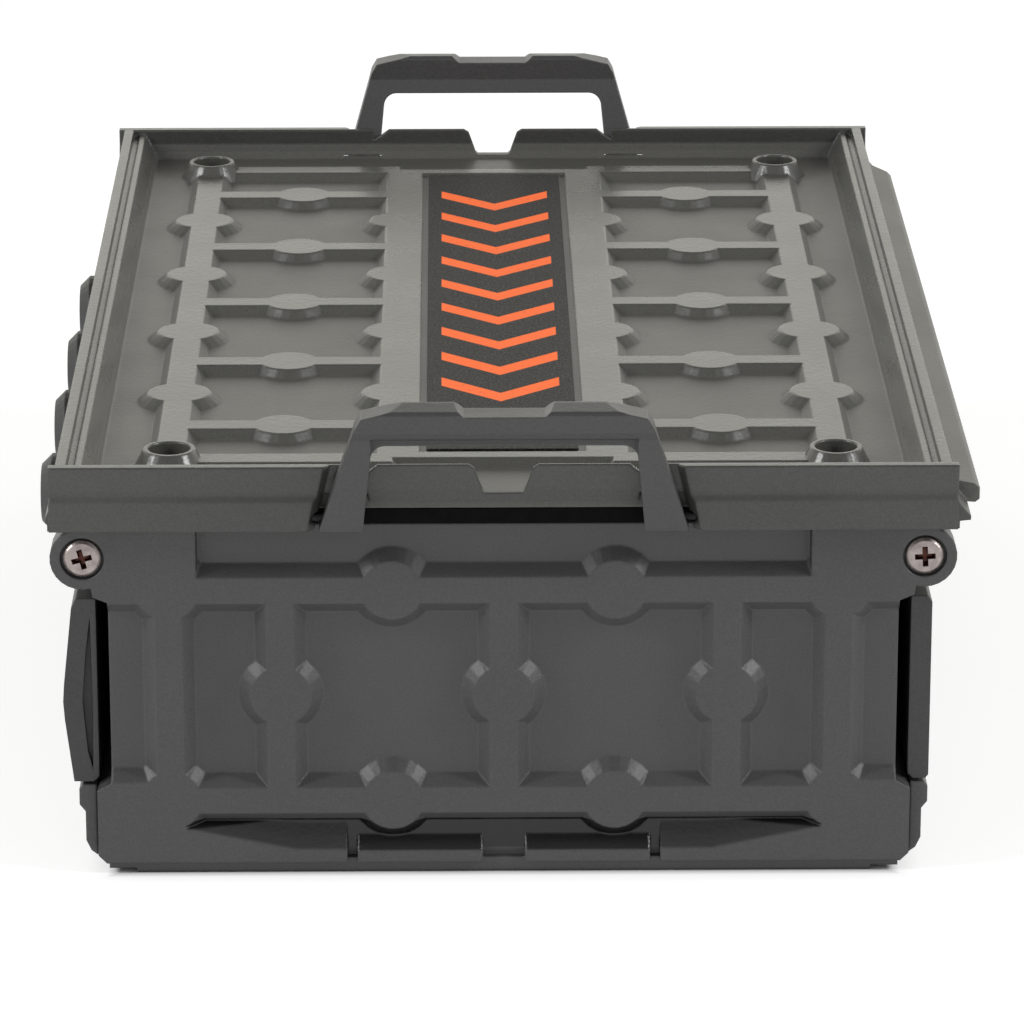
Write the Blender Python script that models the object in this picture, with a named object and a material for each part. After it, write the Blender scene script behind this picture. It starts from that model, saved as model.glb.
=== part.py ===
"""Stackable moulded storage box with a hinged lid, two end handles and two side doors.

Units in this script are millimetres until a mesh is written, then metres.
X is the width, Y the length (front end at -Y) and Z is up. The origin is at
the middle of the footprint, on the surface that the box stands on.
"""

import math

import bmesh
import bpy
from mathutils import Matrix, Vector

METRE = 0.001
GAP = 0.3
TINY = 0.002
SMOOTH_ANGLE = 30.0

# Overall shape of the tub.
TUB_HALF_WIDTH = 97.0
TUB_HALF_LENGTH = 154.5
TUB_TOP = 87.2
TUB_BASE = 2.5
SOLE_HALF_WIDTH = 94.5
SOLE_LOW = 1.0
PLINTH_HALF_WIDTH = 88.0
PLINTH_HALF_LENGTH = 153.5
STACKING_POCKET_RADIUS = 8.4
STACKING_POCKET_DEPTH = 2.9
CAVITY_HALF_WIDTH = 89.8
CAVITY_HALF_LENGTH = 148.6
CAVITY_FLOOR = 5.0
SIDE_WALL = 92.4
FOOT_TOP = 20.5
FINGER_NOTCH = 93.6
NOTCH_TOP = 70.0
TUB_CHAMFER = 2.0

# The raised pattern shared by the ends and the lid.
PITCH = 52.9
HALF_PITCH = PITCH / 2
BAND_HALF_WIDTH = 3.15
END_RELIEF = 3.0
DISC_RADIUS = 7.2
DISC_SEGMENTS = 24
SKIRT_DEPTH = 0.5
STEEP = 0.12
END_TOP_BAND = 71.5
END_MIDDLE = 45.0
END_LOW_BAND = 18.5
END_TOP_CELL_EDGE = 72.6

# Side hinges: a steel rod along each long side, held by a screw at each end.
ROD_X = 99.3
ROD_Z = 79.6
ROD_RADIUS = 3.0
ROD_HALF_LENGTH = 146.6
ROD_BORE_RADIUS = 2.3
ROD_BORE_DEPTH = 13.0
BOSS_RADIUS = 7.6
BOSS_DEPTH = 7.5
SCREW_HEAD_RADIUS = 4.5
SCREW_RECESS_RADIUS = 5.2
SCREW_RECESS_DEPTH = 1.7
KNUCKLE_RADIUS = 5.9
KNUCKLE_BORE = ROD_RADIUS + GAP
DOOR_KNUCKLE_LENGTH = 24.0
DOOR_INNER = 96.6
DOOR_HALF_LENGTH = 151.0
DOOR_LOW = 22.3
DOOR_TOP = 68.5
GRIP_POCKET_DEPTH = 1.8
LID_KNUCKLE_LENGTH = 14.0
TUB_LUG_LENGTH = 10.0
TUB_LUG_Y = 130.0

# Lid.
LID_HALF_WIDTH = 105.0
LID_HALF_LENGTH = 157.5
LID_LOW = 87.5
LID_TOP = 103.0
LID_CREASE = 96.0
LID_FLOOR_LOW = 91.5
LID_FLOOR = 95.1
LID_PLATEAU = 97.3
LID_BAND_HALF_WIDTH = 3.3
LID_DISC_RADIUS = 7.7
LID_WALL = 2.4
FLANGE_OUTER = 107.0
FLANGE_INNER = 104.4
LID_GROOVE = 101.0
LID_LEDGE = 101.7
LID_LEDGE_INNER = 99.3
LID_LEDGE_FOOT = 95.7
LEFT_FLANGE = 107.5
RIGHT_FLANGE = 109.6
END_WALL = 2.7
END_LIP = 0.8
LABEL_HALF_WIDTH = 18.2
LABEL_HALF_LENGTH = 126.0
LABEL_MARGIN = 1.8
LABEL_BED = LID_PLATEAU - 0.7
LABEL_THICKNESS = 0.5
TUBE_BOSS_TOP = 99.8
TUBE_HOLE_RADIUS = 5.15

# Handles.
HANDLE_PIVOT_Y = 156.3
HANDLE_PIVOT_Z = 90.5
HANDLE_LEG_INNER = 33.1
HANDLE_LEG_OUTER = 43.4
HANDLE_TOP = 121.8
HANDLE_WINDOW_TOP = 111.4
HANDLE_WINDOW_CORNER = 3.5
LEG_SLOT_INNER = 31.8
LEG_SLOT_LOW = 44.5
LEG_SLOT_HIGH = 41.0
LEG_SLOT_THROUGH = 96.0
LEG_SLOT_CHAMFER = 1.9
FINGER_SLOT_TOP = 94.0
END_RIM_SET_BACK = 155.6
PIN_RADIUS = 1.1

SHELL = ("moulded_shell", (0.062, 0.062, 0.060, 1.0), 0.55, 0.0)
DOOR = ("moulded_door", (0.040, 0.040, 0.040, 1.0), 0.6, 0.0)
HANDLE = ("moulded_handle", (0.066, 0.065, 0.064, 1.0), 0.5, 0.0)
RUBBER = ("gasket_rubber", (0.02, 0.02, 0.02, 1.0), 0.8, 0.0)
LABEL = ("label_film", (0.03, 0.03, 0.03, 1.0), 0.6, 0.0)
STEEL = ("stainless_steel", (0.62, 0.58, 0.57, 1.0), 0.35, 1.0)


# ---------------------------------------------------------------- helpers

def clear_scene():
    for item in list(bpy.data.objects):
        bpy.data.objects.remove(item, do_unlink=True)


def material(look):
    name, colour, roughness, metallic = look
    found = bpy.data.materials.get(name)
    if found:
        return found
    made = bpy.data.materials.new(name)
    made.use_nodes = True
    shader = made.node_tree.nodes["Principled BSDF"]
    shader.inputs["Base Color"].default_value = colour
    shader.inputs["Roughness"].default_value = roughness
    shader.inputs["Metallic"].default_value = metallic
    return made


def add_object(name, form):
    """Write a bmesh drawn in millimetres as an object in metres."""
    bmesh.ops.scale(form, vec=(METRE, METRE, METRE), verts=form.verts)
    bmesh.ops.recalc_face_normals(form, faces=form.faces)
    mesh = bpy.data.meshes.new(name)
    form.to_mesh(mesh)
    form.free()
    made = bpy.data.objects.new(name, mesh)
    bpy.context.scene.collection.objects.link(made)
    return made


def prism(outline, axis, start, end):
    """Extrude an outline. Axis X takes (y, z) points, Y takes (x, z), Z takes (x, y)."""
    form = bmesh.new()

    def place(point, depth):
        first, second = point
        if axis == "X":
            return (depth, first, second)
        if axis == "Y":
            return (first, depth, second)
        return (first, second, depth)

    low = [form.verts.new(place(point, start)) for point in outline]
    high = [form.verts.new(place(point, end)) for point in outline]
    form.faces.new(low)
    form.faces.new(high[::-1])
    count = len(outline)
    for index in range(count):
        following = (index + 1) % count
        form.faces.new((low[index], high[index], high[following], low[following]))
    return add_object("piece", form)


def block(x_range, y_range, z_range):
    (x0, x1), (y0, y1), (z0, z1) = x_range, y_range, z_range
    return prism([(x0, z0), (x1, z0), (x1, z1), (x0, z1)], "Y", y0, y1)


def hull(points):
    form = bmesh.new()
    for point in points:
        form.verts.new(point)
    bmesh.ops.convex_hull(form, input=form.verts)
    bmesh.ops.dissolve_limit(form, angle_limit=math.radians(0.2), verts=form.verts, edges=form.edges)
    return add_object("piece", form)


def turned(profile, centre, axis, segments):
    """Turn (radius, height) points about a line through centre along +axis."""
    form = bmesh.new()
    direction = Vector(axis).normalized()
    turn = direction.to_track_quat("Z", "Y").to_matrix()
    rings = []
    for radius, height in profile:
        ring = []
        for step in range(segments):
            angle = 2 * math.pi * (step + 0.5) / segments
            spot = Vector((radius * math.cos(angle), radius * math.sin(angle), height))
            ring.append(form.verts.new(Vector(centre) + turn @ spot))
        rings.append(ring)
    for lower, upper in zip(rings, rings[1:]):
        for step in range(segments):
            following = (step + 1) % segments
            form.faces.new((lower[step], lower[following], upper[following], upper[step]))
    form.faces.new(rings[0][::-1])
    form.faces.new(rings[-1])
    return add_object("piece", form)


def cylinder(centre, axis, radius, length, segments=20):
    return turned([(radius, 0.0), (radius, length)], centre, axis, segments)


def arc(centre_x, centre_y, radius, start, end, steps):
    """Points on an arc, angles in degrees."""
    points = []
    for step in range(steps + 1):
        angle = math.radians(start + (end - start) * step / steps)
        points.append((centre_x + radius * math.cos(angle), centre_y + radius * math.sin(angle)))
    return points


def combine(base, pieces, operation):
    """Join, cut or intersect base with the pieces, then discard them."""
    group = bpy.data.collections.new("operands")
    for piece in pieces:
        group.objects.link(piece)
    step = base.modifiers.new("combine", "BOOLEAN")
    step.operation = operation
    step.solver = "EXACT"
    if operation == "INTERSECT":
        step.object = pieces[0]
    else:
        step.operand_type = "COLLECTION"
        step.collection = group
    bpy.context.view_layer.update()
    graph = bpy.context.evaluated_depsgraph_get()
    result = bpy.data.meshes.new_from_object(base.evaluated_get(graph))
    base.modifiers.clear()
    base.data = result
    for piece in pieces:
        bpy.data.objects.remove(piece, do_unlink=True)
    bpy.data.collections.remove(group)
    return base


def join(base, *pieces):
    return combine(base, list(pieces), "UNION")


def cut(base, *pieces):
    return combine(base, list(pieces), "DIFFERENCE")


def keep_common(base, piece):
    return combine(base, [piece], "INTERSECT")


def finish(made, name, look, pivot=(0.0, 0.0, 0.0)):
    """Name a sub-part, give it its material and put its origin at pivot."""
    form = bmesh.new()
    form.from_mesh(made.data)
    offset = Vector(pivot) * METRE
    bmesh.ops.remove_doubles(form, verts=form.verts, dist=TINY * METRE)
    bmesh.ops.dissolve_degenerate(form, edges=form.edges, dist=TINY * METRE)
    bmesh.ops.translate(form, vec=-offset, verts=form.verts)
    form.to_mesh(made.data)
    form.free()
    made.location = offset
    made.name = name
    made.data.name = name
    made.data.materials.clear()
    made.data.materials.append(material(look))
    made.data.shade_smooth()
    made.data.set_sharp_from_angle(angle=math.radians(SMOOTH_ANGLE))
    return made


def mirror_points(points):
    return [(-x, y) for x, y in points][::-1]


# ---------------------------------------------------------------- raised pattern

def raised_block(x_range, z_range, relief, place, slope=1.0):
    """A flat-topped block whose four sides spread by slope millimetres for each one they drop."""
    x0, x1 = x_range
    z0, z1 = z_range
    depth = relief + SKIRT_DEPTH
    spread = depth * slope
    top = [(x0, z0), (x1, z0), (x1, z1), (x0, z1)]
    foot = [(x0 - spread, z0 - spread), (x1 + spread, z0 - spread),
            (x1 + spread, z1 + spread), (x0 - spread, z1 + spread)]
    return hull([place(x, z, 0.0) for x, z in top] + [place(x, z, depth) for x, z in foot])


def raised_disc(x, z, relief, place, radius=DISC_RADIUS, slope=1.0):
    depth = relief + SKIRT_DEPTH
    points = []
    for step in range(DISC_SEGMENTS):
        angle = 2 * math.pi * (step + 0.5) / DISC_SEGMENTS
        for reach, drop in ((radius, 0.0), (radius + depth * slope, depth)):
            points.append(place(x + reach * math.cos(angle), z + reach * math.sin(angle), drop))
    return hull(points)


def band_along_x(z, half_width, x_range, relief, place):
    return raised_block(x_range, (z - half_width, z + half_width), relief, place)


def band_along_z(x, half_width, z_range, relief, place):
    return raised_block((x - half_width, x + half_width), z_range, relief, place)


# ---------------------------------------------------------------- tub

def end_outline():
    """Half outline of an end panel in (x, z), right side, from the base up."""
    notch_low = [(TUB_HALF_WIDTH, FOOT_TOP + 0.5), (FINGER_NOTCH, FOOT_TOP + 2.5)]
    notch_high = [(FINGER_NOTCH, NOTCH_TOP - 1.4), (TUB_HALF_WIDTH, NOTCH_TOP)]
    boss = arc(ROD_X, ROD_Z, BOSS_RADIUS, -105.0, 90.0, 14)
    return ([(TUB_HALF_WIDTH - TUB_CHAMFER, TUB_BASE), (TUB_HALF_WIDTH, TUB_BASE + TUB_CHAMFER)]
            + notch_low + notch_high + boss)


def end_panel(side):
    """Relief panel that closes one end. Side is -1 at the front and 1 at the rear."""
    face = side * TUB_HALF_LENGTH
    ground = side * (TUB_HALF_LENGTH - END_RELIEF)
    inner = side * CAVITY_HALF_LENGTH

    def place(x, z, depth):
        return (x, face - side * depth, z)

    panel = block((-110.0, 110.0), sorted((ground, inner)), (-5.0, 95.0))
    pieces = []
    for hand in (-1, 1):
        outer = hand * 1.5 * PITCH
        edge = hand * 130.0
        inner_edge = hand * (1.5 * PITCH - BAND_HALF_WIDTH)
        span = sorted((inner_edge, edge))
        top_corner = (END_TOP_BAND - BAND_HALF_WIDTH, 110.0)
        low_corner = (-20.0, END_LOW_BAND + BAND_HALF_WIDTH + 1.5)
        pieces += [raised_block(span, corner, END_RELIEF, place) for corner in (top_corner, low_corner)]
        pieces.append(band_along_z(outer, BAND_HALF_WIDTH, (END_LOW_BAND, END_TOP_BAND), END_RELIEF, place))
        cell_edge = sorted((hand * END_TOP_CELL_EDGE, edge))
        pieces.append(raised_block(cell_edge, (END_TOP_BAND + 3.5, 110.0), END_RELIEF, place, STEEP))
        pieces += [raised_disc(outer, z, END_RELIEF, place) for z in (END_LOW_BAND, END_TOP_BAND)]
    for z in (END_LOW_BAND, END_TOP_BAND):
        pieces.append(band_along_x(z, BAND_HALF_WIDTH, (-1.5 * PITCH, 1.5 * PITCH), END_RELIEF, place))
        pieces += [raised_disc(x, z, END_RELIEF, place) for x in (-HALF_PITCH, HALF_PITCH)]
    for x in (-PITCH, 0.0, PITCH):
        pieces.append(band_along_z(x, BAND_HALF_WIDTH, (END_LOW_BAND, END_TOP_BAND), END_RELIEF, place))
        pieces.append(raised_disc(x, END_MIDDLE, END_RELIEF, place))
    pieces += stacking_catches(face, ground - side * 0.5)
    panel = join(panel, *pieces)
    right = end_outline()
    silhouette = prism(right + mirror_points(right), "Y", face - side * 12.0, face + side * 5.0)
    return keep_common(panel, silhouette)


def stacking_catches(face, back):
    """Two sloped catches and two low stops along the foot of an end."""
    low = -1.0
    catch_back, stop_back, stop_front = 12.9, 9.4, 5.3
    tip, bend, heel = (76.6, 11.0), (49.6, 5.4), (37.5, 5.4)
    pieces = []
    for hand in (-1, 1):
        runs = [(tip, bend, catch_back), (bend, heel, catch_back),
                ((5.1, stop_front), (35.0, stop_front), stop_back)]
        for start, end, back_top in runs:
            corners = []
            for x, front_top in (start, end):
                corners += [(hand * x, back, back_top), (hand * x, back, low)]
                corners += [(hand * x, face, front_top), (hand * x, face, low)]
            pieces.append(hull(corners))
    return pieces


def tub_section():
    """Cross-section of the tub between its ends, in (x, z)."""
    right = [
        (TUB_HALF_WIDTH - TUB_CHAMFER, TUB_BASE),
        (TUB_HALF_WIDTH, TUB_BASE + TUB_CHAMFER),
        (TUB_HALF_WIDTH, FOOT_TOP),
        (SIDE_WALL, FOOT_TOP + 1.5),
        (SIDE_WALL, TUB_TOP),
    ]
    return right + mirror_points(right)


def screw_places():
    """Hand, end and name of each corner screw."""
    return [(-1, -1, "front_left"), (1, -1, "front_right"), (-1, 1, "rear_left"), (1, 1, "rear_right")]


def build_tub():
    tub = prism(tub_section(), "Y", -CAVITY_HALF_LENGTH - 1.0, CAVITY_HALF_LENGTH + 1.0)
    length = (-PLINTH_HALF_LENGTH, PLINTH_HALF_LENGTH)
    pieces = [
        block((-PLINTH_HALF_WIDTH, PLINTH_HALF_WIDTH), length, (0.0, TUB_BASE + 1.0)),
        block((-SOLE_HALF_WIDTH, SOLE_HALF_WIDTH), length, (SOLE_LOW, TUB_BASE + 1.0)),
        end_panel(-1),
        end_panel(1),
    ]
    for hand in (-1, 1):
        for end in (-1, 1):
            start = (hand * ROD_X, end * (TUB_HALF_LENGTH - BOSS_DEPTH), ROD_Z)
            pieces.append(cylinder(start, (0, end, 0), BOSS_RADIUS, BOSS_DEPTH - 1.0, 28))
            pieces.append(lug(hand, end * TUB_LUG_Y))
    tub = join(tub, *pieces)
    holes = [block((-CAVITY_HALF_WIDTH, CAVITY_HALF_WIDTH), (-CAVITY_HALF_LENGTH, CAVITY_HALF_LENGTH),
                   (CAVITY_FLOOR, TUB_TOP + 10.0))]
    for hand in (-1, 1):
        for end in (-1, 1):
            mouth = (hand * ROD_X, end * (TUB_HALF_LENGTH - SCREW_RECESS_DEPTH), ROD_Z)
            holes.append(cylinder(mouth, (0, end, 0), SCREW_RECESS_RADIUS, 10.0, 28))
            start = (hand * ROD_X, end * (TUB_HALF_LENGTH - BOSS_DEPTH - 5.0), ROD_Z)
            holes.append(cylinder(start, (0, end, 0), ROD_BORE_RADIUS, 20.0, 16))
            lug_start = (hand * ROD_X, end * TUB_LUG_Y - TUB_LUG_LENGTH, ROD_Z)
            holes.append(cylinder(lug_start, (0, 1, 0), KNUCKLE_BORE, 2 * TUB_LUG_LENGTH, 20))
            pocket = (hand * 1.5 * PITCH, end * 2.5 * PITCH, STACKING_POCKET_DEPTH)
            holes.append(cylinder(pocket, (0, 0, -1), STACKING_POCKET_RADIUS, 10.0, 28))
    tub = cut(tub, *holes)
    return finish(tub, "tub", SHELL)


def lug(hand, y):
    """An eye on the tub wall that carries the hinge rod."""
    low = y - TUB_LUG_LENGTH / 2
    inner = SIDE_WALL - 1.0
    eye = arc(ROD_X, ROD_Z, KNUCKLE_RADIUS, -90.0, 90.0, 10)
    outline = [(inner, ROD_Z - KNUCKLE_RADIUS)] + eye + [(inner, ROD_Z + KNUCKLE_RADIUS)]
    if hand < 0:
        outline = mirror_points(outline)
    return prism(outline, "Y", low, low + TUB_LUG_LENGTH)


def build_side_rail(hand, name):
    """Rub rail along the foot of a long side."""
    inner = TUB_HALF_WIDTH + GAP
    outline = [
        (inner, 3.4),
        (inner + 1.6, 4.6),
        (inner + 2.8, 7.2),
        (inner + 2.8, 14.6),
        (inner + 4.2, 16.4),
        (inner + 4.2, 20.2),
        (inner + 3.4, 21.4),
        (inner, 21.4),
    ]
    if hand < 0:
        outline = mirror_points(outline)
    return finish(prism(outline, "Y", -151.0, 151.0), name, SHELL)


# ---------------------------------------------------------------- hinge rods and screws

def build_rod(hand, name):
    rod_start = (hand * ROD_X, -ROD_HALF_LENGTH, ROD_Z)
    rod = cylinder(rod_start, (0, 1, 0), ROD_RADIUS, 2 * ROD_HALF_LENGTH, 20)
    bores = []
    for end in (-1, 1):
        start = (hand * ROD_X, end * (ROD_HALF_LENGTH - ROD_BORE_DEPTH), ROD_Z)
        bores.append(cylinder(start, (0, end, 0), ROD_BORE_RADIUS, ROD_BORE_DEPTH + 5.0, 16))
    return finish(cut(rod, *bores), name, STEEL, (hand * ROD_X, 0.0, ROD_Z))


def build_screw(hand, end, name):
    """Pan-head screw with a cross recess, its shank inside the rod's bore."""
    seat = TUB_HALF_LENGTH - SCREW_RECESS_DEPTH + GAP
    tip = seat - BOSS_DEPTH - 9.0
    profile = [
        (1.4, tip),
        (2.0, tip + 0.8),
        (2.0, seat),
        (SCREW_HEAD_RADIUS, seat),
        (SCREW_HEAD_RADIUS, seat + 0.9),
        (SCREW_HEAD_RADIUS - 0.7, seat + 1.5),
        (SCREW_HEAD_RADIUS - 2.0, seat + 1.8),
    ]
    screw = turned(profile, (hand * ROD_X, 0.0, ROD_Z), (0, end, 0), 28)
    turn = math.radians(15.0 if hand < 0 else 3.0)
    recess = []
    for quarter in (0.0, math.pi / 2):
        corners = []
        for reach, width, depth in ((2.9, 0.75, seat + 2.5), (1.6, 0.45, seat + 0.35)):
            for along in (-reach, reach):
                for across in (-width, width):
                    spin = Matrix.Rotation(turn + quarter, 2) @ Vector((along, across))
                    corners.append((hand * ROD_X + spin.x, end * depth, ROD_Z + spin.y))
        recess.append(hull(corners))
    return finish(cut(screw, *recess), name, STEEL, (hand * ROD_X, 0.0, ROD_Z))


# ---------------------------------------------------------------- side doors

def door_eye(hand, y):
    """Knuckle of a side door round the hinge rod, with the neck below it."""
    low = y - DOOR_KNUCKLE_LENGTH / 2
    neck = [(DOOR_INNER, DOOR_TOP - 2.5), (101.4, DOOR_TOP - 2.5), (101.4, DOOR_TOP + 3.5)]
    eye = arc(ROD_X, ROD_Z, KNUCKLE_RADIUS, -60.0, 200.0, 16)
    outline = neck + eye
    if hand < 0:
        outline = mirror_points(outline)
    return prism(outline, "Y", low, low + DOOR_KNUCKLE_LENGTH)


def door_knuckle_places():
    return [step * HALF_PITCH for step in (-3, -1, 1, 3)]


def build_door(hand, name, bowed):
    """Drop door that hangs on the hinge rod over the side of the tub."""
    inner = DOOR_INNER
    if bowed:
        outer = [(102.6, DOOR_LOW), (104.5, 38.0), (104.8, 42.5), (104.5, 47.0), (102.4, 66.0),
                 (101.3, DOOR_TOP)]
    else:
        outer = [(100.9, DOOR_LOW), (101.6, 23.2), (101.6, 66.9), (100.6, DOOR_TOP)]
    outline = [(inner + 1.2, DOOR_LOW)] + outer + [(inner, DOOR_TOP), (inner, DOOR_LOW + 1.2)]
    if hand < 0:
        outline = mirror_points(outline)
    door = prism(outline, "Y", -DOOR_HALF_LENGTH, DOOR_HALF_LENGTH)
    pieces = [door_eye(hand, y) for y in door_knuckle_places()]
    if bowed:
        for y in door_knuckle_places():
            profile = [(9.8, 0.0), (9.8, 10.0), (DISC_RADIUS, 12.6)]
            pieces.append(turned(profile, (hand * 101.1, y, END_TOP_BAND), (hand, 0, 0), 24))
    door = join(door, *pieces)
    holes = []
    for y in door_knuckle_places():
        start = (hand * ROD_X, y - DOOR_KNUCKLE_LENGTH, ROD_Z)
        holes.append(cylinder(start, (0, 1, 0), KNUCKLE_BORE, 2 * DOOR_KNUCKLE_LENGTH, 20))
    holes += door_panels(hand, bowed)
    if bowed:
        holes += grip_pockets(hand)
    door = cut(door, *holes)
    return finish(door, name, DOOR, (hand * ROD_X, 0.0, ROD_Z))


def grip_pockets(hand):
    """Shallow lens-shaped pockets in both ends of the bowed door."""
    lens = [(98.0, 25.0), (99.2, 30.0), (100.2, 42.5), (99.2, 55.0), (98.0, 64.0), (97.7, 42.5)]
    if hand < 0:
        lens = mirror_points(lens)
    reach = DOOR_HALF_LENGTH + 5.0
    depth = DOOR_HALF_LENGTH - GRIP_POCKET_DEPTH
    return [prism(lens, "Y", -reach, -depth), prism(lens, "Y", depth, reach)]


def door_panels(hand, bowed):
    """Shallow recesses between the ribs on a door's outer face."""
    reach = 103.4 if bowed else 100.4
    cells = []
    for step in range(-2, 3):
        middle = step * PITCH
        half = HALF_PITCH - 4.5
        low, high = 29.0, 61.0
        foot = [(y, z) for y in (middle - half, middle + half) for z in (low, high)]
        mouth = [(y, z) for y in (middle - half - 2.0, middle + half + 2.0) for z in (low - 2.0, high + 2.0)]
        corners = [(hand * reach, y, z) for y, z in foot]
        corners += [(hand * (reach + 2.0), y, z) for y, z in mouth]
        cells.append(hull(corners))
    return cells


# ---------------------------------------------------------------- lid

def lid_place(x, y, depth):
    return (x, y, LID_PLATEAU - depth)


def side_rim_section(hand):
    """Rim and flange along a long side, in (x, z)."""
    rim_inner = LID_HALF_WIDTH - LID_WALL
    ledge_outer = LID_LEDGE_INNER + 1.4
    flange = RIGHT_FLANGE if hand > 0 else LEFT_FLANGE
    outline = [
        (rim_inner, LID_TOP),
        (rim_inner - 0.2, LID_GROOVE),
        (ledge_outer + 0.2, LID_GROOVE),
        (ledge_outer, LID_LEDGE),
        (LID_LEDGE_INNER, LID_LEDGE),
        (LID_LEDGE_FOOT, LID_FLOOR),
        (LID_LEDGE_FOOT, LID_FLOOR_LOW),
        (FLANGE_INNER, LID_FLOOR_LOW),
        (FLANGE_INNER, LID_LOW),
        (FLANGE_OUTER, LID_LOW),
        (FLANGE_OUTER, 89.3),
        (flange, 89.6),
        (flange, 90.6),
        (LID_HALF_WIDTH, LID_CREASE),
        (LID_HALF_WIDTH, LID_TOP),
    ]
    return outline if hand > 0 else mirror_points(outline)


def end_rim_section(side):
    """Rim along an end, in (y, z)."""
    inner = LID_HALF_LENGTH - END_WALL
    lip = LID_HALF_LENGTH + END_LIP
    outline = [
        (inner, LID_TOP),
        (inner, LID_FLOOR + 3.6),
        (inner - 2.6, LID_FLOOR),
        (inner - 1.0, LID_FLOOR_LOW),
        (inner + 0.3, LID_FLOOR_LOW),
        (inner + 0.3, LID_LOW),
        (lip, LID_LOW),
        (lip, LID_CREASE - 1.4),
        (LID_HALF_LENGTH, LID_CREASE),
        (LID_HALF_LENGTH, LID_TOP),
    ]
    return [(side * y, z) for y, z in outline]


def lid_pattern():
    """Raised bands, discs and tube bosses on the lid's tray floor."""
    relief = LID_PLATEAU - LID_FLOOR
    rows = [step * HALF_PITCH for step in (-3, -1, 1, 3)]
    end_row = 2.5 * PITCH
    pieces = [raised_block((-HALF_PITCH - 3.3, HALF_PITCH + 3.3), (-end_row, end_row), relief, lid_place)]
    for hand in (-1, 1):
        outer = hand * 1.5 * PITCH
        pieces.append(band_along_z(outer, LID_BAND_HALF_WIDTH, (-end_row, end_row), relief, lid_place))
        for y in rows:
            for x in (outer, hand * HALF_PITCH):
                pieces.append(raised_disc(x, y, relief, lid_place, LID_DISC_RADIUS, 1.3))
        for step in range(-2, 3):
            span = sorted((hand * HALF_PITCH, outer))
            pieces.append(band_along_x(step * PITCH, LID_BAND_HALF_WIDTH, span, relief, lid_place))
            middle = (hand * PITCH, step * PITCH)
            pieces.append(raised_disc(*middle, relief, lid_place, LID_DISC_RADIUS - 0.3, 0.75))
        for end in (-1, 1):
            span = sorted((hand * HALF_PITCH, outer))
            pieces.append(band_along_x(end * end_row, LID_BAND_HALF_WIDTH, span, relief, lid_place))
            profile = [(9.0, LID_FLOOR - 1.0), (8.6, LID_FLOOR), (6.2, TUBE_BOSS_TOP)]
            pieces.append(turned(profile, (outer, end * end_row, 0.0), (0, 0, 1), 28))
    return pieces


def build_lid():
    floor_x = LID_HALF_WIDTH - 1.0
    floor_y = LID_HALF_LENGTH - 1.0
    lid = block((-floor_x, floor_x), (-floor_y, floor_y), (LID_FLOOR_LOW, LID_FLOOR))
    pieces = lid_pattern()
    for hand in (-1, 1):
        pieces.append(prism(side_rim_section(hand), "Y", -LID_HALF_LENGTH, LID_HALF_LENGTH))
    for side in (-1, 1):
        pieces.append(prism(end_rim_section(side), "X", -106.6, 106.6))
        cheek = sorted((side * 153.4, side * 156.5))
        for hand in (-1, 1):
            span = sorted((hand * (LEG_SLOT_LOW + 0.5), hand * 52.0))
            pieces.append(block(span, cheek, (LID_LOW + 0.4, LID_FLOOR_LOW + 1.0)))
    pieces.append(hinge_ledge())
    pieces += [lid_knuckle(step * PITCH) for step in range(-2, 3)]
    lid = join(lid, *pieces)
    holes = []
    for hand in (-1, 1):
        for end in (-1, 1):
            spot = (hand * 1.5 * PITCH, end * 2.5 * PITCH, LID_FLOOR_LOW + 1.2)
            holes.append(cylinder(spot, (0, 0, 1), TUBE_HOLE_RADIUS, 20.0, 28))
            pin_start = (hand * 40.0, end * HANDLE_PIVOT_Y, HANDLE_PIVOT_Z)
            holes.append(cylinder(pin_start, (hand, 0, 0), PIN_RADIUS + GAP, 10.2, 14))
    for step in range(-2, 3):
        start = (ROD_X, step * PITCH - LID_KNUCKLE_LENGTH, ROD_Z)
        holes.append(cylinder(start, (0, 1, 0), KNUCKLE_BORE, 2 * LID_KNUCKLE_LENGTH, 20))
    for side in (-1, 1):
        holes += end_rim_cuts(side)
    label_x = LABEL_HALF_WIDTH + LABEL_MARGIN
    label_y = LABEL_HALF_LENGTH + LABEL_MARGIN
    holes.append(block((-label_x, label_x), (-label_y, label_y), (LABEL_BED, LID_PLATEAU + 5.0)))
    lid = cut(lid, *holes)
    return finish(lid, "lid", SHELL, (ROD_X, 0.0, ROD_Z))


def hinge_ledge():
    """Finger rail outside the flange, on the hinge side only."""
    outline = [
        (104.6, 95.6),
        (105.0, 96.0),
        (111.6, 94.6),
        (112.6, 93.8),
        (112.6, 91.0),
        (111.6, 90.2),
        (104.6, 90.6),
    ]
    ledge = prism(outline, "Y", -146.0, 146.0)
    return cut(ledge, prism([(116.0, 134.0), (116.0, 150.0), (100.0, 150.0)], "Z", 85.0, 100.0))


def lid_knuckle(y):
    """Eye and web that tie the lid to the right-hand rod."""
    low = y - LID_KNUCKLE_LENGTH / 2
    eye = arc(ROD_X, ROD_Z, KNUCKLE_RADIUS, -180.0, 0.0, 12)
    web = [(105.2, 92.0), (97.8, 92.0), (97.8, 88.0), (ROD_X - KNUCKLE_RADIUS, 82.0)]
    return prism(eye + web, "Y", low, low + LID_KNUCKLE_LENGTH)


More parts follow.
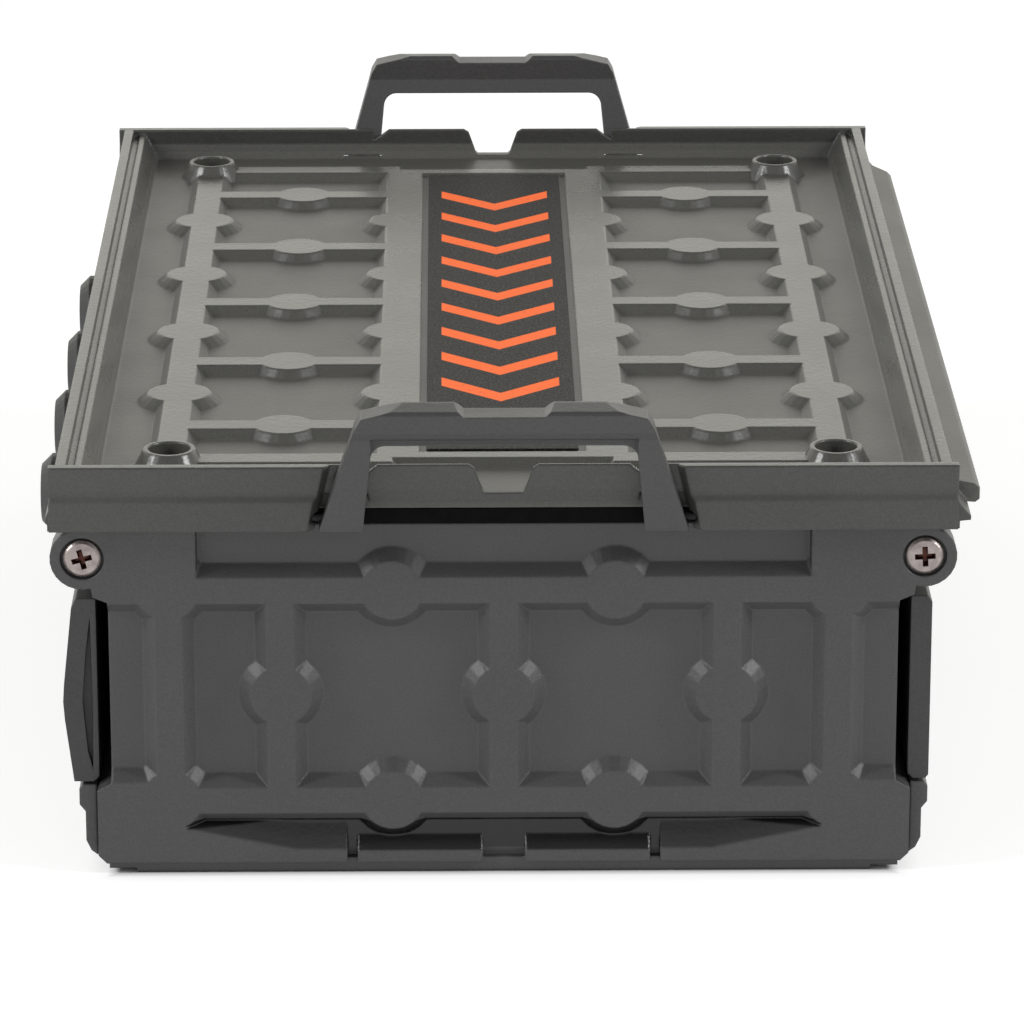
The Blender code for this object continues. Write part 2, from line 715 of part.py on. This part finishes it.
def end_rim_cuts(side):
    """Leg slots, finger slot, set-back face and middle notch of an end rim."""
    outside = side * 165.0
    slot_back = side * 152.8
    low, high = 80.0, 110.0
    middle = (-LEG_SLOT_INNER - 0.5, LEG_SLOT_INNER + 0.5)
    cuts = [
        block(middle, sorted((side * END_RIM_SET_BACK, outside)), (low, high)),
        block(middle, sorted((slot_back, outside)), (low, FINGER_SLOT_TOP)),
    ]
    lean = (LEG_SLOT_LOW - LEG_SLOT_HIGH) / (LID_TOP - LID_LOW)

    def slot_edge(z, widen):
        return LEG_SLOT_LOW + widen - (z - LID_LOW) * lean

    bevel_face = LID_HALF_LENGTH - LEG_SLOT_CHAMFER + END_LIP
    bevel_mouth = bevel_face + 1.4 + LEG_SLOT_CHAMFER
    for hand in (-1, 1):
        for back, top in ((slot_back, LEG_SLOT_THROUGH), (side * END_RIM_SET_BACK, high)):
            slot = [(LEG_SLOT_INNER, low), (slot_edge(low, 0.0), low),
                    (slot_edge(top, 0.0), top), (LEG_SLOT_INNER, top)]
            cuts.append(prism([(hand * x, z) for x, z in slot], "Y", back, outside))
        bevel = []
        for y, widen in ((bevel_face, 0.0), (bevel_mouth, bevel_mouth - bevel_face)):
            for z in (low, high):
                bevel.append((hand * slot_edge(z, widen), side * y, z))
                bevel.append((hand * 36.0, side * y, z))
        cuts.append(hull(bevel))
        shoulder = [(34.0, 100.0), (32.0, 101.2), (29.6, LID_TOP), (29.6, high), (34.0, high)]
        cuts.append(prism([(hand * x, z) for x, z in shoulder], "Y", side * 152.0, outside))
    notch = [(4.2, 96.0), (4.9, 96.6), (6.9, 102.2), (8.4, 103.1), (8.4, high)]
    cuts.append(prism(notch + mirror_points(notch), "Y", side * 152.0, outside))
    return cuts


def build_gasket():
    """Seal on the underside of the lid, over the tub's top edge."""
    low, high = LID_LOW, LID_FLOOR_LOW - GAP
    outer = block((-92.2, 92.2), (-152.5, 152.5), (low, high))
    inner = block((-89.9, 89.9), (-149.4, 149.4), (low - 5.0, high + 5.0))
    return finish(cut(outer, inner), "lid_gasket", RUBBER, (ROD_X, 0.0, ROD_Z))


def build_label():
    low = LABEL_BED + GAP
    plate = block((-LABEL_HALF_WIDTH, LABEL_HALF_WIDTH), (-LABEL_HALF_LENGTH, LABEL_HALF_LENGTH),
                  (low, low + LABEL_THICKNESS))
    return finish(plate, "label_plate", LABEL)


# ---------------------------------------------------------------- handles

def handle_front_outline():
    """Face of a handle in (x, z): two tapering legs joined by a grip bar."""
    right = [
        (HANDLE_LEG_INNER, LID_LOW + 0.1),
        (HANDLE_LEG_OUTER, LID_LOW + 0.1),
        (34.6, 117.0),
        (33.2, 119.4),
        (23.5, HANDLE_TOP - 0.1),
        (11.6, HANDLE_TOP - 0.1),
        (9.4, 119.9),
    ]
    corner_z = HANDLE_WINDOW_TOP - HANDLE_WINDOW_CORNER
    window = arc(27.6, corner_z, HANDLE_WINDOW_CORNER, 90.0, 0.0, 6)
    return right + mirror_points(right) + mirror_points(window) + window


def handle_side_outline(side):
    """Side view of a handle in (y, z), leaning outwards from its pivot."""
    foot = [(153.6, 91.2), (153.6, 88.4), (154.6, 87.6), (159.4, 87.6), (160.2, 89.0)]
    outer = [(170.6, 113.6), (172.8, 116.2), (172.8, 120.2), (172.0, 121.0)]
    inner = [(166.2, HANDLE_TOP), (165.2, 120.9), (165.2, 115.0), (163.4, 110.5)]
    return [(side * y, z) for y, z in foot + outer + inner]


def build_handle(side, name):
    handle = prism(handle_front_outline(), "Y", side * 150.0, side * 180.0)
    handle = keep_common(handle, prism(handle_side_outline(side), "X", -50.0, 50.0))
    channel = [(170.8, 108.0), (170.8, 118.4), (167.4, 118.9), (167.4, 108.0)]
    holes = [prism([(side * y, z) for y, z in channel], "X", -31.0, 31.0)]
    for hand in (-1, 1):
        start = (hand * 35.6, side * HANDLE_PIVOT_Y, HANDLE_PIVOT_Z)
        holes.append(cylinder(start, (hand, 0, 0), PIN_RADIUS + GAP, 12.0, 14))
    handle = cut(handle, *holes)
    return finish(handle, name, HANDLE, (0.0, side * HANDLE_PIVOT_Y, HANDLE_PIVOT_Z))


def build_handle_pin(hand, side, name):
    start = (hand * 35.9, side * HANDLE_PIVOT_Y, HANDLE_PIVOT_Z)
    pin = cylinder(start, (hand, 0, 0), PIN_RADIUS, 14.0, 14)
    return finish(pin, name, STEEL, start)


# ---------------------------------------------------------------- assembly

def main():
    clear_scene()
    build_tub()
    build_side_rail(-1, "left_side_rail")
    build_side_rail(1, "right_side_rail")
    build_rod(-1, "left_hinge_rod")
    build_rod(1, "right_hinge_rod")
    build_door(-1, "left_door", True)
    build_door(1, "right_door", False)
    build_lid()
    build_gasket()
    build_label()
    build_handle(-1, "front_handle")
    build_handle(1, "rear_handle")
    for hand, end, corner in screw_places():
        build_screw(hand, end, corner + "_screw")
        build_handle_pin(hand, end, corner + "_handle_pin")


main()
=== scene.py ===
import math

import bpy
from mathutils import Matrix, Vector

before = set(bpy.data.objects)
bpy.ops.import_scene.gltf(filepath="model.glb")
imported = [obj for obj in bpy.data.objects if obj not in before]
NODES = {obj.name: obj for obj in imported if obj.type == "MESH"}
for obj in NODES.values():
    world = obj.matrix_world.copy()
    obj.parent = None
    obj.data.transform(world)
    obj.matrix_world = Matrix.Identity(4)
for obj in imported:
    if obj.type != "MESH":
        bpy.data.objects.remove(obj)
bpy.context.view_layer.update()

MM = 0.001

# Plastic colours, linear.
SHELL_DARK = (0.038, 0.038, 0.038)
SHELL_LIGHT = (0.044, 0.044, 0.044)
LID_DARK = (0.038, 0.038, 0.037)
LID_LIGHT = (0.045, 0.045, 0.043)
HANDLE_DARK = (0.036, 0.036, 0.036)
HANDLE_LIGHT = (0.043, 0.042, 0.042)
DOOR_DARK = (0.020, 0.020, 0.020)
DOOR_LIGHT = (0.026, 0.026, 0.026)

# Places on the CAD pieces, in metres. Every piece has its origin at the frame's, so its
# object space is the frame's own space at rest, and turns with the piece.
LID_PLATEAU = 97.3 * MM
ROD_X = 99.3 * MM
ROD_Z = 79.6 * MM
TRAY_REACH = 154.7 * MM
# Painted sheen: the lid is lighter and warmer everywhere but its two ends.
TRAY_PAINTED_SHEEN = (1.5, 1.48, 1.38, 1.0)
# Where painted shade darkens the tub inside the scoops of the stacking catches.
END_FACE = 154.5 * MM
SCOOP_DEPTH = 3.5 * MM
SCOOP_HEIGHT = 9.2 * MM
SCOOP_REACH = 3.9 * MM
SCOOP_HALF_WIDTH = 76.8 * MM
SCOOP_SLACK = 1.2
SCOOP_PAINTED_SHADE = (0.002, 0.002, 0.002, 1.0)
SCREW_FACE = 154.72 * MM
SCREW_CROSS_REACH = 3.15 * MM

# Metals: the screws are warm and lightly stained, and the handle pins are painted near black to stand for
# the shade around them in the leg slots.
ROD_TINT = (0.5, 0.5, 0.5)
SCREW_TINT = (0.40, 0.35, 0.335)
# Painted shade for the bottom of each screw's cross recess.
SCREW_CROSS_PAINTED_SHADE = (0.075, 0.032, 0.025, 1.0)
PIN_PAINTED_SHADE = (0.03, 0.03, 0.03)

# Edges that turn less than this, in degrees, are shaded smooth.
SMOOTH_BELOW = 32.0

# Floor: one large pale square that glows a little, except under the box's sole, where the glow is masked
# off as a painted shadow.
FLOOR_SIZE = 6.0
FLOOR_MIDDLE_Y = 0.6
FLOOR_DROP = 0.2 * MM
FLOOR_GREY = 0.5
FLOOR_GLOW = 0.62
SOLE_HALF_WIDTH = 91.5 * MM
SOLE_HALF_LENGTH = 153.0 * MM
PAINTED_SHADOW_FADE = 10.0 * MM

# Studio: brightness of the white surround in front and behind, and each strip light's
# power in watts, place (on the right hand), target and size in metres.
FRONT_WHITE = 0.82
BACK_WHITE = (1.72, 1.7, 1.58)
STRIP_POWER = 12.0
STRIP_PLACE = (1.25, -0.47, 0.86)
STRIP_TARGET = (0.0, -0.155, 0.05)
STRIP_SIZE = (0.16, 0.55)

# Camera: angles in degrees, and its distance and offsets from the middle of the front rim.
CAMERA_LENS = 200.0
CAMERA_SENSOR = 36.0
CAMERA_ELEVATION = 18.45
CAMERA_YAW = 0.66
CAMERA_DISTANCE = 1.329
CAMERA_RIGHT = 1.9 * MM
CAMERA_DOWN = 10.5 * MM
FRONT_RIM = (0.0, -157.5 * MM, 103.0 * MM)

# Printed label.
FILM_BLACK = (0.009, 0.009, 0.009, 1.0)
FILM_FLECK = (0.055, 0.053, 0.050, 1.0)
PRINT_ORANGE = (0.95, 0.155, 0.028, 1.0)
CHEVRON_PITCH = 22.0 * MM
CHEVRON_STROKE = 7.0 * MM
CHEVRON_REACH = 14.6 * MM
CHEVRONS_EACH_WAY = 5


# ---------------------------------------------------------------- node graphs

class Graph:
    """A short way to build one material's node tree."""

    def __init__(self, name):
        self.material = bpy.data.materials.new(name)
        self.material.use_nodes = True
        self.tree = self.material.node_tree
        self.shader = self.tree.nodes["Principled BSDF"]
        self.coordinates = self.tree.nodes.new("ShaderNodeTexCoord").outputs["Object"]

    def add(self, kind, **settings):
        node = self.tree.nodes.new("ShaderNode" + kind)
        for key, value in settings.items():
            setattr(node, key, value)
        return node

    def link(self, source, target):
        self.tree.links.new(source, target)

    def set(self, socket, value):
        self.shader.inputs[socket].default_value = value

    def noise(self, scale, detail=3.0, roughness=0.5, stretch=None):
        node = self.add("TexNoise")
        node.inputs["Scale"].default_value = scale
        node.inputs["Detail"].default_value = detail
        node.inputs["Roughness"].default_value = roughness
        source = self.coordinates
        if stretch:
            mapping = self.add("Mapping")
            mapping.inputs["Scale"].default_value = stretch
            self.link(source, mapping.inputs["Vector"])
            source = mapping.outputs["Vector"]
        self.link(source, node.inputs["Vector"])
        return node.outputs["Fac"]

    def ramp(self, source, stops):
        """Map a grey value to other greys: stops are (position, grey)."""
        node = self.add("ValToRGB")
        paint_ramp(node, stops)
        self.link(source, node.inputs["Fac"])
        return node.outputs["Color"]

    def mix(self, factor, first, second, blend="MIX"):
        """Mix two colours; each may be a tuple or a socket."""
        node = self.add("Mix", data_type="RGBA", blend_type=blend)
        for value, socket in ((factor, node.inputs[0]), (first, node.inputs[6]), (second, node.inputs[7])):
            if isinstance(value, bpy.types.NodeSocket):
                self.link(value, socket)
            else:
                socket.default_value = value
        return node.outputs[2]

    def math(self, operation, first, second=0.0):
        node = self.add("Math", operation=operation)
        for value, socket in ((first, node.inputs[0]), (second, node.inputs[1])):
            if isinstance(value, bpy.types.NodeSocket):
                self.link(value, socket)
            else:
                socket.default_value = value
        return node.outputs[0]

    def axis(self, letter):
        """One object-space coordinate, in metres."""
        split = self.add("SeparateXYZ")
        self.link(self.coordinates, split.inputs[0])
        return split.outputs[letter]

    def within(self, value, middle, reach):
        """1 where value is closer than reach to plus or minus middle, else 0."""
        distance = self.math("ABSOLUTE", self.math("SUBTRACT", self.math("ABSOLUTE", value), middle))
        return self.math("LESS_THAN", distance, reach)

    def voronoi(self, scale):
        node = self.add("TexVoronoi", feature="SMOOTH_F1")
        node.inputs["Scale"].default_value = scale
        self.link(self.coordinates, node.inputs["Vector"])
        return node.outputs["Distance"]

    def edge_wear_and_highlight(self, radius, low=0.02, high=0.14):
        """Near 1 along sharp edges and 0 on flats: how far a rounded normal leans from the real one."""
        bevel = self.add("Bevel", samples=6)
        bevel.inputs["Radius"].default_value = radius
        geometry = self.add("NewGeometry")
        dot = self.add("VectorMath", operation="DOT_PRODUCT")
        self.link(bevel.outputs["Normal"], dot.inputs[0])
        self.link(geometry.outputs["Normal"], dot.inputs[1])
        lean = self.math("SUBTRACT", 1.0, dot.outputs["Value"])
        return self.ramp(lean, [(low, 0.0), (high, 1.0)])

    def rounded_bump(self, radius, layers):
        """Bump layers (height socket, distance) over a normal that rounds sharp edges."""
        bevel = self.add("Bevel", samples=8)
        bevel.inputs["Radius"].default_value = radius
        normal = bevel.outputs["Normal"]
        for height, distance in layers:
            bump = self.add("Bump")
            bump.inputs["Strength"].default_value = 1.0
            bump.inputs["Distance"].default_value = distance
            self.link(height, bump.inputs["Height"])
            self.link(normal, bump.inputs["Normal"])
            normal = bump.outputs["Normal"]
        self.link(normal, self.shader.inputs["Normal"])


def moulded_plastic(name, dark, light, roughness, grain=900.0, edge=0.3, spread=0.05):
    """Glass-filled moulded plastic: fine grain, faint flow clouds, pale edges, partly wear from rubbing
    and partly a painted highlight.
    """
    graph = Graph(name)
    clouds = graph.noise(14.0, 4.0, 0.6)
    speckle = graph.noise(2600.0, 2.0, 0.7)
    base = graph.mix(graph.ramp(clouds, [(0.3, 0.0), (0.7, 1.0)]), (*dark, 1.0), (*light, 1.0))
    pale = tuple(channel * 1.35 + 0.012 for channel in light)
    deep = tuple(channel * 0.8 for channel in dark)
    flecks = graph.ramp(speckle, [(0.42, 0.0), (0.5, 0.08), (0.62, 0.35)])
    base = graph.mix(flecks, base, (*pale, 1.0))
    pits = graph.ramp(speckle, [(0.36, 0.4), (0.46, 0.0)])
    base = graph.mix(pits, base, (*deep, 1.0))
    # Sharp edges are painted paler: partly wear, partly a painted highlight.
    worn_and_highlit = graph.edge_wear_and_highlight(0.4 * MM)
    patchy = graph.ramp(graph.noise(260.0, 3.0, 0.6), [(0.35, 0.1), (0.65, 1.0)])
    wear_and_highlight = graph.math("MULTIPLY", graph.math("MULTIPLY", worn_and_highlit, patchy), edge)
    rubbed_and_highlight = tuple(channel * 2.1 + 0.03 for channel in light)
    graph.base = graph.mix(wear_and_highlight, base, (*rubbed_and_highlight, 1.0))
    graph.link(graph.base, graph.shader.inputs["Base Color"])
    stops = [(0.3, roughness - spread), (0.7, roughness + spread)]
    graph.rough = graph.ramp(graph.noise(40.0, 3.0, 0.6), stops)
    graph.link(graph.rough, graph.shader.inputs["Roughness"])
    graph.set("Specular IOR Level", 0.5)
    graph.layers = [(graph.voronoi(grain), 0.00005), (graph.noise(grain * 2.2, 2.0), 0.00004)]
    return graph


def look_shell():
    """Tub plastic, darkened by place inside the scoops of the stacking catches: painted shade, darker
    deeper in.
    """
    graph = moulded_plastic("shell_plastic", SHELL_DARK, SHELL_LIGHT, 0.46)
    across = graph.math("ABSOLUTE", graph.axis("X"))
    depth = graph.math("SUBTRACT", END_FACE, graph.math("ABSOLUTE", graph.axis("Y")))
    scoop = graph.math("DIVIDE", depth, SCOOP_DEPTH)
    near_end = graph.math("LESS_THAN", scoop, SCOOP_SLACK)
    foot = graph.within(graph.axis("Z"), SCOOP_HEIGHT, SCOOP_REACH)
    inside = graph.math("LESS_THAN", across, SCOOP_HALF_WIDTH)
    place = graph.math("MULTIPLY", graph.math("MULTIPLY", near_end, foot), inside)
    # Painted shade: near black inside the scoops, darker deeper in, and a little glossier.
    shade = graph.math("MULTIPLY", graph.ramp(scoop, [(0.03, 0.0), (0.12, 0.8), (0.6, 1.0)]), place)
    base = graph.mix(shade, graph.base, SCOOP_PAINTED_SHADE)
    graph.link(base, graph.shader.inputs["Base Color"])
    glossy = graph.math("SUBTRACT", graph.rough, graph.math("MULTIPLY", shade, 0.2))
    graph.link(glossy, graph.shader.inputs["Roughness"])
    graph.rounded_bump(0.9 * MM, graph.layers)
    return graph.material


def look_lid():
    """Lid plastic: the raised bands are smoother from rubbing than the grained cells between them, and all
    but the ends carry a painted sheen, lighter and warmer.
    """
    graph = moulded_plastic("lid_plastic", LID_DARK, LID_LIGHT, 0.44,
                            grain=700.0, edge=0.5, spread=0.02)
    tray = graph.within(graph.axis("Y"), 0.0, TRAY_REACH)
    # Painted sheen, lighter and warmer, on all of the lid but its ends.
    painted_sheen = graph.mix(1.0, graph.base, TRAY_PAINTED_SHEEN, "MULTIPLY")
    graph.link(graph.mix(tray, graph.base, painted_sheen), graph.shader.inputs["Base Color"])
    height = graph.axis("Z")
    raised = graph.math("GREATER_THAN", height, LID_PLATEAU - 0.3 * MM)
    smooth = graph.math("MULTIPLY", raised, 0.16)
    graph.link(graph.math("SUBTRACT", graph.rough, smooth), graph.shader.inputs["Roughness"])
    graph.rounded_bump(1.0 * MM, graph.layers)
    return graph.material


def look_handle():
    """Handle plastic: a finer grain, with more rub and more painted highlight on its edges."""
    graph = moulded_plastic("handle_plastic", HANDLE_DARK, HANDLE_LIGHT, 0.42,
                            grain=1100.0, edge=0.55)
    graph.rounded_bump(0.6 * MM, graph.layers)
    return graph.material


def look_door():
    """Door plastic: the same moulding, near black."""
    graph = moulded_plastic("door_plastic", DOOR_DARK, DOOR_LIGHT, 0.5)
    graph.rounded_bump(0.6 * MM, graph.layers)
    return graph.material


def look_rubber():
    """Matt black gasket, made darker than bare rubber: painted shade where it shows through the handle
    slots.
    """
    graph = Graph("gasket_rubber")
    base = graph.mix(graph.noise(300.0), (0.002, 0.002, 0.002, 1.0), (0.007, 0.007, 0.007, 1.0))
    graph.link(base, graph.shader.inputs["Base Color"])
    graph.set("Roughness", 0.85)
    graph.set("Specular IOR Level", 0.06)
    graph.rounded_bump(0.3 * MM, [(graph.noise(1800.0, 2.0), 0.00006)])
    return graph.material


def look_label():
    """Black speckled film printed with a row of orange chevrons."""
    graph = Graph("label_film")
    across = graph.math("ABSOLUTE", graph.axis("X"))
    along = graph.axis("Y")
    speckle = graph.noise(1500.0, 3.0, 0.8)
    film = graph.mix(graph.ramp(speckle, [(0.50, 0.0), (0.60, 1.0)]), FILM_BLACK, FILM_FLECK)
    slanted = graph.math("SUBTRACT", along, graph.math("MULTIPLY", across, 0.9))
    turn = graph.math("FLOORED_MODULO", slanted, CHEVRON_PITCH)
    stroke = graph.math("LESS_THAN", turn, CHEVRON_STROKE)
    chevrons = graph.math("MULTIPLY", stroke, graph.math("LESS_THAN", across, CHEVRON_REACH))
    printed = graph.math("MULTIPLY", chevrons,
                         graph.within(slanted, 0.0, CHEVRONS_EACH_WAY * CHEVRON_PITCH))
    scuffs = graph.ramp(graph.noise(700.0, 4.0, 0.7), [(0.28, 0.6), (0.4, 1.0)])
    printed = graph.math("MULTIPLY", printed, scuffs)
    graph.link(graph.mix(printed, film, PRINT_ORANGE), graph.shader.inputs["Base Color"])
    graph.set("Roughness", 0.55)
    graph.set("Specular IOR Level", 0.12)
    graph.rounded_bump(0.1 * MM, [(speckle, 0.00003), (printed, 0.00002)])
    return graph.material


def look_steel(name, tint, roughness, recess=False):
    """Stained steel; with recess, painted shade darkens what lies below a screw's face, inside its cross.
    """
    graph = Graph(name)
    stains = graph.noise(420.0, 3.0, 0.6)
    dark = tuple(channel * 0.72 for channel in tint)
    base = graph.mix(graph.ramp(stains, [(0.35, 0.0), (0.65, 1.0)]), (*dark, 1.0), (*tint, 1.0))
    if recess:
        # Painted shade in the bottom of the screw's cross recess.
        below_face = graph.math("LESS_THAN", graph.math("ABSOLUTE", graph.axis("Y")), SCREW_FACE)
        across = graph.math("SUBTRACT", graph.math("ABSOLUTE", graph.axis("X")), ROD_X)
        rise = graph.math("SUBTRACT", graph.axis("Z"), ROD_Z)
        squares = graph.math("ADD", graph.math("MULTIPLY", across, across),
                             graph.math("MULTIPLY", rise, rise))
        reach = graph.math("SQRT", squares)
        cross = graph.math("MULTIPLY", below_face, graph.math("LESS_THAN", reach, SCREW_CROSS_REACH))
        base = graph.mix(cross, base, SCREW_CROSS_PAINTED_SHADE)
    graph.link(base, graph.shader.inputs["Base Color"])
    graph.set("Metallic", 1.0)
    rough = graph.ramp(graph.noise(900.0, 2.0), [(0.3, roughness - 0.08), (0.7, roughness + 0.1)])
    graph.link(rough, graph.shader.inputs["Roughness"])
    graph.rounded_bump(0.15 * MM, [(graph.noise(1500.0, 3.0), 0.00002)])
    return graph.material


def paint(node, material):
    for slot in NODES[node].material_slots:
        slot.material = material
    NODES[node].data.shade_smooth()
    NODES[node].data.set_sharp_from_angle(angle=math.radians(SMOOTH_BELOW))


def paint_nodes():
    """Give each CAD piece its look, by name or else by the last word of its name."""
    shell, lid, handle, door = look_shell(), look_lid(), look_handle(), look_door()
    rubber, label = look_rubber(), look_label()
    rod = look_steel("rod_steel", ROD_TINT, 0.3)
    screw = look_steel("screw_steel", SCREW_TINT, 0.42, recess=True)
    pin = look_steel("pin_steel", PIN_PAINTED_SHADE, 0.5)
    looks = {"lid": lid, "label_plate": label, "lid_gasket": rubber}
    endings = {"_rod": rod, "_screw": screw, "_pin": pin, "_door": door, "_handle": handle}
    for node in NODES:
        ending = "_" + node.split("_")[-1]
        paint(node, looks.get(node) or endings.get(ending) or shell)


# ---------------------------------------------------------------- studio

def stage_floor():
    """Pale floor whose glow fades out under the sole, a painted shadow standing in for the box's own
    shade.
    """
    graph = Graph("studio_floor")
    graph.set("Base Color", (FLOOR_GREY, FLOOR_GREY, FLOOR_GREY, 1.0))
    graph.set("Roughness", 0.9)
    graph.set("Specular IOR Level", 0.1)
    graph.set("Emission Strength", FLOOR_GLOW)
    across = graph.math("SUBTRACT", graph.math("ABSOLUTE", graph.axis("X")), SOLE_HALF_WIDTH)
    along = graph.math("ADD", graph.axis("Y"), FLOOR_MIDDLE_Y)
    beyond = graph.math("SUBTRACT", graph.math("ABSOLUTE", along), SOLE_HALF_LENGTH)
    # Painted shadow: the glow is off under the sole and comes back over the first centimetre around it.
    clear = graph.math("DIVIDE", graph.math("MAXIMUM", across, beyond), PAINTED_SHADOW_FADE)
    glow = graph.ramp(clear, [(0.05, 0.0), (0.35, 0.8), (0.9, 1.0)])
    graph.link(glow, graph.shader.inputs["Emission Color"])
    place = (0.0, FLOOR_MIDDLE_Y, -FLOOR_DROP)
    bpy.ops.mesh.primitive_plane_add(size=FLOOR_SIZE, location=place)
    floor = bpy.context.object
    floor.name = "studio_floor"
    floor.data.materials.append(graph.material)


def area_light(name, place, target, size, power):
    """A rectangular light at place, turned to face target."""
    light = bpy.data.lights.new(name, "AREA")
    light.shape = "RECTANGLE"
    light.size, light.size_y = size
    light.energy = power
    lamp = bpy.data.objects.new(name, light)
    bpy.context.scene.collection.objects.link(lamp)
    lamp.location = place
    lamp.rotation_euler = (Vector(target) - Vector(place)).to_track_quat("-Z", "Y").to_euler()


def paint_ramp(node, stops):
    """Set a colour ramp's stops: (position, grey) or (position, (red, green, blue))."""
    elements = node.color_ramp.elements
    while len(elements) < len(stops):
        elements.new(0.5)
    for element, (position, grey) in zip(elements, stops):
        element.position = position
        element.color = (*grey, 1.0) if isinstance(grey, tuple) else (grey, grey, grey, 1.0)


def studio_light():
    """A white surround low down, dark overhead, with a narrow strip light on each side."""
    world = bpy.data.worlds.new("studio")
    bpy.context.scene.world = world
    world.use_nodes = True
    tree = world.node_tree
    direction = tree.nodes.new("ShaderNodeTexCoord").outputs["Generated"]
    split = tree.nodes.new("ShaderNodeSeparateXYZ")
    tree.links.new(direction, split.inputs[0])
    height = tree.nodes.new("ShaderNodeValToRGB")
    paint_ramp(height, [(0.0, FRONT_WHITE), (0.44, FRONT_WHITE), (0.72, 0.26), (1.0, 0.16)])
    tree.links.new(split.outputs["Z"], height.inputs["Fac"])
    depth = tree.nodes.new("ShaderNodeValToRGB")
    paint_ramp(depth, [(0.25, 1.0), (0.6, BACK_WHITE)])
    tree.links.new(split.outputs["Y"], depth.inputs["Fac"])
    product = tree.nodes.new("ShaderNodeMix")
    product.data_type = "RGBA"
    product.blend_type = "MULTIPLY"
    product.inputs[0].default_value = 1.0
    tree.links.new(height.outputs["Color"], product.inputs[6])
    tree.links.new(depth.outputs["Color"], product.inputs[7])
    background = tree.nodes["Background"]
    tree.links.new(product.outputs[2], background.inputs["Color"])
    background.inputs["Strength"].default_value = 1.0
    for hand, name in ((-1, "left_strip"), (1, "right_strip")):
        place = (hand * STRIP_PLACE[0], *STRIP_PLACE[1:])
        area_light(name, place, STRIP_TARGET, STRIP_SIZE, STRIP_POWER)
    bpy.context.scene.view_settings.view_transform = "Standard"


def studio_camera():
    """A long lens from the front, 18.5 degrees above the horizon and a little left of the middle."""
    camera = bpy.data.cameras.new("camera")
    camera.sensor_width = CAMERA_SENSOR
    camera.lens = CAMERA_LENS
    camera.clip_end = 20.0
    seat = bpy.data.objects.new("camera", camera)
    bpy.context.scene.collection.objects.link(seat)
    elevation = math.radians(CAMERA_ELEVATION)
    yaw = math.radians(CAMERA_YAW)
    level = math.cos(elevation)
    forward = Vector((math.sin(yaw) * level, math.cos(yaw) * level, -math.sin(elevation)))
    right = forward.cross(Vector((0.0, 0.0, 1.0))).normalized()
    up = right.cross(forward)
    offset = right * CAMERA_RIGHT - up * CAMERA_DOWN
    seat.location = Vector(FRONT_RIM) - forward * CAMERA_DISTANCE + offset
    seat.rotation_euler = Matrix((right, up, -forward)).transposed().to_euler()
    bpy.context.scene.camera = seat


paint_nodes()
stage_floor()
studio_light()
studio_camera()
